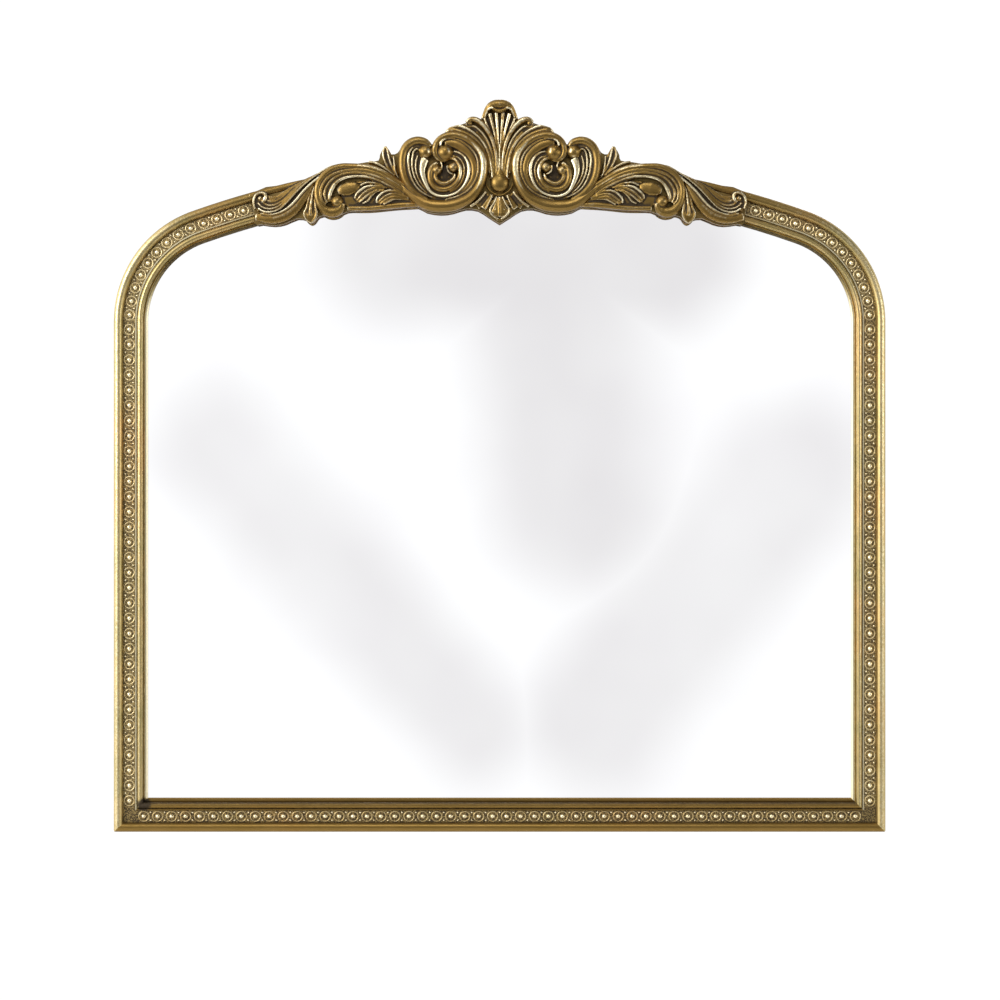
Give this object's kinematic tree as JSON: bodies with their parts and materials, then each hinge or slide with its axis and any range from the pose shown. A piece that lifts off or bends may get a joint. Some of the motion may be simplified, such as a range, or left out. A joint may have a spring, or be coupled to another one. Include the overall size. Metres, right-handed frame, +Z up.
{
  "type": "overmantel mirror",
  "caption": "Arched wall mirror with a beaded moulding, a carved crest of scrolls and leaves, and hanging rings on the back.",
  "frame": {"origin": "Under the middle of the mirror: centre of its box from side to side and from front to back, at the height of the bottom edge", "axes": "+X to the right as seen from the front, +Y from the glass towards the wall, +Z up"},
  "size_m": [1, 0.0455, 0.949],
  "materials": {
    "gilded_wood": "antique gold leaf, rubbed, over a carved wood moulding",
    "gilded_composition": "antique gold leaf, rubbed, over cast composition",
    "silvered_glass": "polished float glass silvered on its back",
    "hardboard": "smooth brown hardboard",
    "zinc_steel": "bright zinc plate",
    "beech": "plain fluted beech dowel",
    "felt": "dense pressed felt"
  },
  "bodies": {
    "mirror": {"bottom_rail": "gilded_wood", "left_stile": "gilded_wood", "right_stile": "gilded_wood", "left_shoulder": "gilded_wood", "right_shoulder": "gilded_wood", "arch_rail": "gilded_wood", "beading_bottom": "gilded_composition", "beading_left": "gilded_composition", "beading_right": "gilded_composition", "beading_shoulder_left": "gilded_composition", "beading_shoulder_right": "gilded_composition", "beading_arch_left": "gilded_composition", "beading_arch_right": "gilded_composition", "mirror_glass": "silvered_glass", "backing_board": "hardboard", "backing_clips": "zinc_steel", "clip_screws": "zinc_steel", "crest_board": "gilded_wood", "crest_screws": "zinc_steel", "palmette": "gilded_composition", "pendant_shell": "gilded_composition", "plume_left": "gilded_composition", "plume_right": "gilded_composition", "scroll_left": "gilded_composition", "scroll_right": "gilded_composition", "wing_left": "gilded_composition", "wing_right": "gilded_composition", "tail_leaf_left": "gilded_composition", "tail_leaf_right": "gilded_composition", "tongue_leaf_left": "gilded_composition", "tongue_leaf_right": "gilded_composition", "sprig_left": "gilded_composition", "sprig_right": "gilded_composition", "joint_dowels": "beech", "corner_braces": "zinc_steel", "brace_screws": "zinc_steel", "hanger_strap_left": "zinc_steel", "hanger_strap_right": "zinc_steel", "hanger_screws": "zinc_steel", "wall_pads": "felt"},
    "left_ring": {"hanger_ring_left": "zinc_steel"},
    "right_ring": {"hanger_ring_right": "zinc_steel"}
  },
  "joints": [
    {"name": "left_ring_swing", "type": "hinge", "parent": "mirror", "child": "left_ring", "pos_m": [-0.484, 0.01943, 0.6], "axis": [1, 0, 0], "range_deg": [0, 180]},
    {"name": "right_ring_swing", "type": "hinge", "parent": "mirror", "child": "right_ring", "pos_m": [0.484, 0.01943, 0.6], "axis": [1, 0, 0], "range_deg": [0, 180]}
  ]
}
